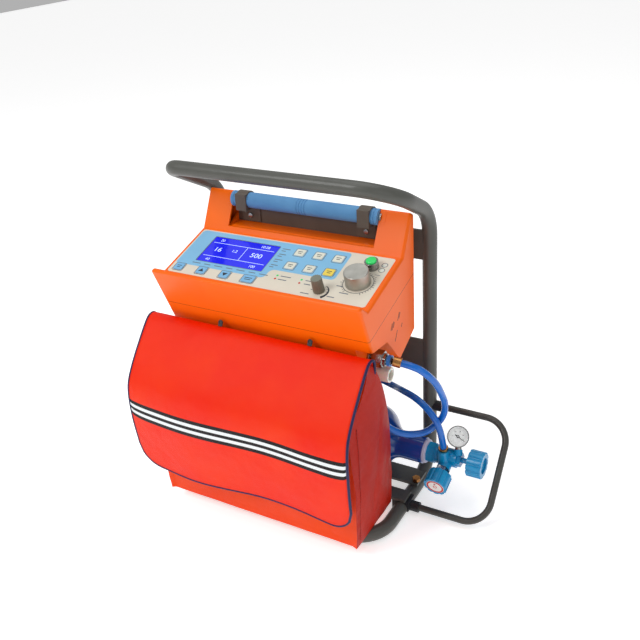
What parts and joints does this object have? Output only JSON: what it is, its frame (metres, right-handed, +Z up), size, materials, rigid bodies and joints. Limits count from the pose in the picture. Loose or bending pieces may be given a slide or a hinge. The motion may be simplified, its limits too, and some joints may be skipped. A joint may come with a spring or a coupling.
{
  "type": "mechanical ventilator",
  "caption": "Portable emergency ventilator on a bent-tube frame, with a sloping control panel, oxygen cylinder, regulator, hose and a flapped accessory bag.",
  "frame": {"origin": "on the floor, under the middle of the whole object", "axes": "+X to the regulator side, +Y to the back, +Z up"},
  "size_m": [0.4925, 0.2685, 0.515],
  "materials": {
    "orange_plastic": "fine spark-eroded moulded texture",
    "frame_paint": "satin powder coat",
    "panel_film": "printed satin film",
    "display_glass": "clear window over a blue display",
    "display_body": "plain",
    "key_white": "satin key cap",
    "key_blue": "satin key cap",
    "key_yellow": "satin key cap",
    "silver_knob": "turned, satin",
    "grey_knob": "ribbed",
    "chrome": "plated",
    "green_lens": "lit translucent",
    "circuit_board": "solder mask",
    "dark_plastic": "moulded",
    "alloy_block": "machined",
    "translucent_plastic": "milky translucent",
    "blue_plastic": "smooth",
    "grip_rubber": "soft-touch",
    "brass": "turned",
    "blue_paint": "gloss paint",
    "ring_plastic": "smooth",
    "turquoise": "moulded",
    "badge": "printed disc",
    "dial_white": "printed dial",
    "clear_glass": "clear",
    "hose_rubber": "smooth",
    "bag_fabric": "coated polyester",
    "strap_webbing": "woven",
    "steel": "zinc plated"
  },
  "bodies": {
    "unit_and_frame": {"top_case": "orange_plastic", "bottom_case": "orange_plastic", "panel_plate": "panel_film", "lcd_window": "display_glass", "lcd_module": "display_body", "indicator_lamps": "translucent_plastic", "lamp_bezel": "chrome", "control_board": "circuit_board", "knob_encoders": "dark_plastic", "battery_pack": "dark_plastic", "valve_block": "alloy_block", "alarm_speaker": "dark_plastic", "oxygen_inlet": "chrome", "gas_outlet": "translucent_plastic", "inner_hoses": "translucent_plastic", "recess_plate": "frame_paint", "handle_core": "steel", "handle_grip": "grip_rubber", "handle_clips": "frame_paint", "clip_screws": "chrome", "upper_hoop": "frame_paint", "base_hoop": "frame_paint", "upper_cross_bar": "frame_paint", "lower_cross_bar": "dark_plastic", "unit_bolts": "steel", "cylinder_cradle": "frame_paint", "bag_rail": "dark_plastic", "cradle_bolts": "brass", "bail_sockets": "dark_plastic", "guard_bail": "frame_paint", "gas_cylinder": "blue_paint", "cylinder_straps": "strap_webbing", "neck_ring": "ring_plastic", "valve_body": "turquoise", "flow_bonnet": "chrome", "gauge_case": "chrome", "gauge_dial": "dial_white", "gauge_glass": "clear_glass", "oxygen_hose": "hose_rubber", "hose_ferrules": "brass", "bag_body": "bag_fabric"},
    "menu_key": {"menu_key": "key_blue"},
    "up_key": {"up_key": "key_blue"},
    "down_key": {"down_key": "key_blue"},
    "confirm_key": {"confirm_key": "key_blue"},
    "mode_key_1": {"mode_key_1": "key_white"},
    "mode_key_2": {"mode_key_2": "key_white"},
    "mode_key_3": {"mode_key_3": "key_white"},
    "mode_key_4": {"mode_key_4": "key_white"},
    "mode_key_5": {"mode_key_5": "key_white"},
    "mute_key": {"mute_key": "key_yellow"},
    "rate_knob": {"rate_knob": "silver_knob"},
    "mode_knob": {"mode_knob": "grey_knob"},
    "lamp_button": {"lamp_button": "green_lens"},
    "release_ring": {"release_ring": "blue_plastic"},
    "valve_wheel": {"valve_wheel": "turquoise"},
    "flow_knob": {"flow_knob": "turquoise", "knob_badge": "badge"},
    "gauge_needle": {"gauge_needle": "dark_plastic"},
    "bag_flap": {"bag_flap": "bag_fabric"}
  },
  "joints": [
    {"name": "menu_key_press", "type": "slide", "parent": "unit_and_frame", "child": "menu_key", "axis": [0, 0.2689, -0.9632], "range_m": [0, 0.0008], "stiffness_N_per_m": 900},
    {"name": "up_key_press", "type": "slide", "parent": "unit_and_frame", "child": "up_key", "axis": [0, 0.2689, -0.9632], "range_m": [0, 0.0008], "stiffness_N_per_m": 900},
    {"name": "down_key_press", "type": "slide", "parent": "unit_and_frame", "child": "down_key", "axis": [0, 0.2689, -0.9632], "range_m": [0, 0.0008], "stiffness_N_per_m": 900},
    {"name": "confirm_key_press", "type": "slide", "parent": "unit_and_frame", "child": "confirm_key", "axis": [0, 0.2689, -0.9632], "range_m": [0, 0.0008], "stiffness_N_per_m": 900},
    {"name": "mode_key_1_press", "type": "slide", "parent": "unit_and_frame", "child": "mode_key_1", "axis": [0, 0.2689, -0.9632], "range_m": [0, 0.0008], "stiffness_N_per_m": 900},
    {"name": "mode_key_2_press", "type": "slide", "parent": "unit_and_frame", "child": "mode_key_2", "axis": [0, 0.2689, -0.9632], "range_m": [0, 0.0008], "stiffness_N_per_m": 900},
    {"name": "mode_key_3_press", "type": "slide", "parent": "unit_and_frame", "child": "mode_key_3", "axis": [0, 0.2689, -0.9632], "range_m": [0, 0.0008], "stiffness_N_per_m": 900},
    {"name": "mode_key_4_press", "type": "slide", "parent": "unit_and_frame", "child": "mode_key_4", "axis": [0, 0.2689, -0.9632], "range_m": [0, 0.0008], "stiffness_N_per_m": 900},
    {"name": "mode_key_5_press", "type": "slide", "parent": "unit_and_frame", "child": "mode_key_5", "axis": [0, 0.2689, -0.9632], "range_m": [0, 0.0008], "stiffness_N_per_m": 900},
    {"name": "mute_key_press", "type": "slide", "parent": "unit_and_frame", "child": "mute_key", "axis": [0, 0.2689, -0.9632], "range_m": [0, 0.0008], "stiffness_N_per_m": 900},
    {"name": "rate_knob_turn", "type": "hinge", "parent": "unit_and_frame", "child": "rate_knob", "pos_m": [0.06695, -0.00377, 0.37888], "axis": [0, -0.2689, 0.9632], "range_deg": [-150, 150]},
    {"name": "mode_knob_turn", "type": "hinge", "parent": "unit_and_frame", "child": "mode_knob", "pos_m": [0.02265, -0.03055, 0.3714], "axis": [0, -0.2689, 0.9632], "range_deg": [-135, 135]},
    {"name": "lamp_button_press", "type": "slide", "parent": "unit_and_frame", "child": "lamp_button", "axis": [0, 0.2689, -0.9632], "range_m": [0, 0.0015], "stiffness_N_per_m": 900},
    {"name": "release_ring_push", "type": "slide", "parent": "unit_and_frame", "child": "release_ring", "axis": [-1, 0, 0], "range_m": [0, 0.0015], "stiffness_N_per_m": 900},
    {"name": "valve_wheel_turn", "type": "hinge", "parent": "unit_and_frame", "child": "valve_wheel", "pos_m": [0.21025, 0.06975, 0.0805], "axis": [1, 0, 0], "range_deg": [-540, 0]},
    {"name": "flow_knob_turn", "type": "hinge", "parent": "unit_and_frame", "child": "flow_knob", "pos_m": [0.16525, 0.06975, 0.0765], "axis": [0, -0.9507, -0.3102], "range_deg": [0, 300]},
    {"name": "gauge_needle_turn", "type": "hinge", "parent": "unit_and_frame", "child": "gauge_needle", "pos_m": [0.17645, 0.08025, 0.1125], "axis": [0.3498, -0.7197, 0.5997], "range_deg": [-180, 80], "stiffness_Nm_per_rad": 0.0004},
    {"name": "bag_flap_lift", "type": "hinge", "parent": "unit_and_frame", "child": "bag_flap", "pos_m": [-0.06775, -0.06425, 0.2895], "axis": [-1, 0, 0], "range_deg": [0, 95]}
  ]
}
